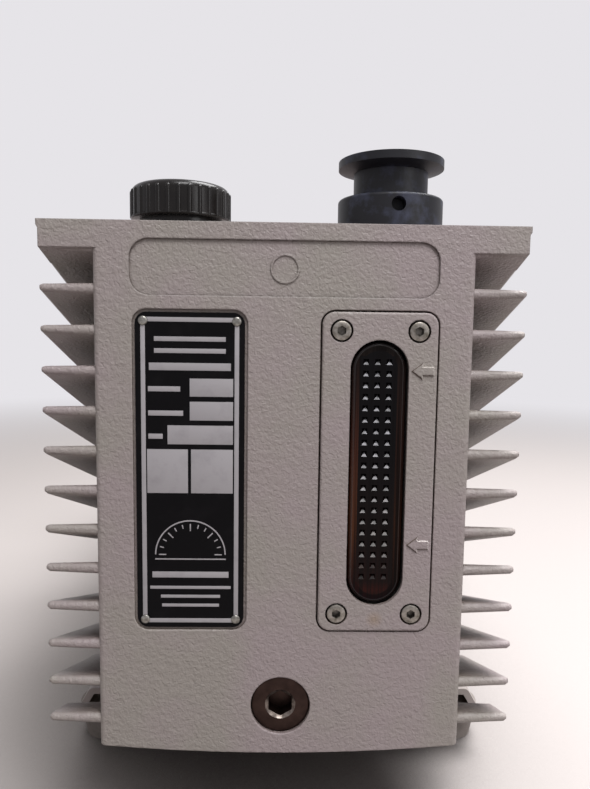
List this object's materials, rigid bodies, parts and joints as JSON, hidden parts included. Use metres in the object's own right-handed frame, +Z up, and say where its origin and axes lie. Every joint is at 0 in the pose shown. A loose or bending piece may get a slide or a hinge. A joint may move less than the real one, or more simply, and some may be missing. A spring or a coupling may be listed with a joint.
{
  "type": "rotary vane vacuum pump",
  "caption": "Oil-sealed rotary vane vacuum pump with a finned cast oil casing, prismatic oil window, filler cap, flanged ports, stand, jaw coupling and flange motor.",
  "frame": {"origin": "on the floor under the middle of the pump, at the centre of its bounding box seen from above", "axes": "+Y runs along the shaft from the oil window at the front to the motor fan at the back, +X is to the right seen from the front, +Z is up"},
  "size_m": [0.2006, 0.5464, 0.2737],
  "materials": {
    "casing_paint": "textured grey-beige enamel over cast aluminium",
    "motor_paint": "grey-beige enamel over cast aluminium",
    "steel_paint": "grey-beige enamel on sheet steel",
    "black_moulding": "moulded black plastic",
    "black_port": "moulded black plastic flange",
    "amber_glass": "dark amber prismatic sight glass",
    "black_rubber": "matt rubber",
    "plate": "anodised aluminium plate printed black",
    "bright_steel": "bright zinc-plated steel",
    "dark_steel": "burnished dark steel",
    "bronze_plug": "dark burnished steel plug",
    "cast_iron": "machined cast iron",
    "port_metal": "turned aluminium",
    "bronze": "sintered bronze",
    "vane": "fibre laminate vane",
    "lamination": "stacked electrical steel",
    "copper": "enamelled copper winding",
    "filter_media": "fibre mist filter",
    "gasket": "gasket sheet",
    "elastomer": "elastic coupling star",
    "board": "moulded terminal board"
  },
  "bodies": {
    "pump": {"base_bolts": "bright_steel", "base_rail_left": "steel_paint", "base_rail_right": "steel_paint", "bearing_bushes": "bronze", "cable_gland": "black_moulding", "casing_gasket": "gasket", "casing_screws": "bright_steel", "exhaust_filter": "filter_media", "exhaust_port": "black_port", "exhaust_valve_leaf": "dark_steel", "fan_cover": "steel_paint", "frame_screws": "bright_steel", "front_bearing_plate": "cast_iron", "fv_cylinder": "cast_iron", "gas_ballast_valve": "bright_steel", "hv_cylinder": "cast_iron", "inlet_port": "port_metal", "inlet_strainer": "bright_steel", "lantern": "casing_paint", "lantern_bolts": "bright_steel", "lid_screws": "bright_steel", "middle_plate": "cast_iron", "module_screws": "dark_steel", "motor_bearings": "dark_steel", "motor_bolts": "bright_steel", "motor_frame": "motor_paint", "motor_front_shield": "motor_paint", "motor_rear_shield": "motor_paint", "nameplate": "plate", "nameplate_rivets": "bright_steel", "oil_casing": "casing_paint", "rear_bearing_plate": "cast_iron", "rubber_feet": "black_rubber", "shaft_seals": "black_rubber", "sight_glass": "amber_glass", "sight_glass_frame": "casing_paint", "sight_glass_seal": "black_rubber", "stand": "casing_paint", "stator_core": "lamination", "stator_windings": "copper", "terminal_board": "board", "terminal_box": "motor_paint", "terminal_box_lid": "motor_paint"},
    "rotor": {"pump_shaft": "bright_steel", "hv_rotor": "dark_steel", "fv_rotor": "dark_steel", "hv_vanes": "vane", "fv_vanes": "vane", "coupling_hub_pump": "cast_iron", "coupling_spider": "elastomer", "coupling_hub_motor": "cast_iron", "motor_shaft": "bright_steel", "motor_rotor": "lamination", "motor_fan": "black_moulding"},
    "filler_ring": {"filler_cap_ring": "black_rubber"},
    "filler_cap": {"filler_cap": "black_moulding"},
    "drain_ring": {"drain_plug_ring": "black_rubber"},
    "drain_plug": {"drain_plug": "bronze_plug"},
    "gas_ballast_knob": {"gas_ballast_knob": "black_moulding"},
    "suckback_valve": {"suckback_valve": "port_metal"}
  },
  "joints": [
    {"name": "rotor_spin", "type": "hinge", "parent": "pump", "child": "rotor", "pos_m": [0, 0, 0.127], "axis": [0, 1, 0], "continuous": true},
    {"name": "filler_cap_lift", "type": "slide", "parent": "pump", "child": "filler_ring", "axis": [0, 0, 1], "range_m": [0, 0.009]},
    {"name": "filler_cap_turn", "type": "hinge", "parent": "filler_ring", "child": "filler_cap", "pos_m": [-0.0402, -0.2418, 0.239], "axis": [0, 0, 1], "range_deg": [0, 1080]},
    {"name": "drain_plug_pull", "type": "slide", "parent": "pump", "child": "drain_ring", "axis": [0, -1, 0], "range_m": [0, 0.01471]},
    {"name": "drain_plug_turn", "type": "hinge", "parent": "drain_ring", "child": "drain_plug", "pos_m": [0, -0.2718, 0.0652], "axis": [0, -1, 0], "range_deg": [0, 3960]},
    {"name": "gas_ballast_turn", "type": "hinge", "parent": "pump", "child": "gas_ballast_knob", "pos_m": [0.058, -0.0358, 0.2], "axis": [1, 0, 0], "range_deg": [0, 90]},
    {"name": "suckback_valve_lift", "type": "slide", "parent": "pump", "child": "suckback_valve", "axis": [0, 0, 1], "range_m": [0, 0.006]}
  ],
  "couplings": [
    {"joint": "filler_cap_lift", "follows": "filler_cap_turn", "m_per_rad": 0.00047746},
    {"joint": "drain_plug_pull", "follows": "drain_plug_turn", "m_per_rad": 0.00021279}
  ]
}
